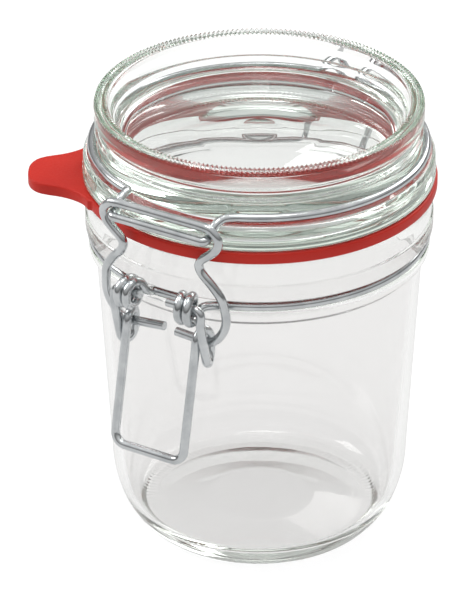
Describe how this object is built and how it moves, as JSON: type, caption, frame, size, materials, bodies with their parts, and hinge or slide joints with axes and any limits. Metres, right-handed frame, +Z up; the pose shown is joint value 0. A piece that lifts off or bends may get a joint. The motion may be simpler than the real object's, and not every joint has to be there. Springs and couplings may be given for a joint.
{
  "type": "clip top jar",
  "caption": "Clear glass storage jar with a glass lid on a red rubber ring, held shut by a sprung steel wire clip with a pull-down lever.",
  "frame": {"origin": "bottom middle of the bounding box of the whole jar, pull tab and clip included, on the plane that the jar stands on; the glass is round an axis 3.5 mm along +X and 0.9 mm along +Y from it", "axes": "+Z up along the jar's axis; the clip faces -Y and the lid's hinge is at +Y; +X is to the right as seen from the clip's side"},
  "size_m": [0.1002, 0.1112, 0.1229],
  "materials": {
    "jar_glass": "clear",
    "lid_glass": "clear",
    "rubber_ring": "satin",
    "lower_ring": "bright drawn wire",
    "lid_wire": "bright drawn wire",
    "bail": "bright drawn wire",
    "lever": "bright drawn wire"
  },
  "bodies": {
    "jar": {"jar_glass": "jar_glass", "lower_ring": "lower_ring"},
    "lever": {"lever": "lever"},
    "bail": {"bail": "bail"},
    "lid": {"lid_glass": "lid_glass", "rubber_ring": "rubber_ring", "lid_wire": "lid_wire"}
  },
  "joints": [
    {"name": "lever_turn", "type": "hinge", "parent": "jar", "child": "lever", "pos_m": [0.00352, -0.04902, 0.08715], "axis": [-1, 0, 0], "range_deg": [0, 120]},
    {"name": "bail_turn", "type": "hinge", "parent": "lever", "child": "bail", "pos_m": [0.00352, -0.04482, 0.0762], "axis": [-1, 0, 0], "range_deg": [-132, 0]},
    {"name": "lid_turn", "type": "hinge", "parent": "jar", "child": "lid", "pos_m": [0.00352, 0.05173, 0.0995], "axis": [-1, 0, 0], "range_deg": [0, 100]}
  ],
  "couplings": [
    {"joint": "bail_turn", "follows": "lever_turn", "ratio": -1.1}
  ]
}
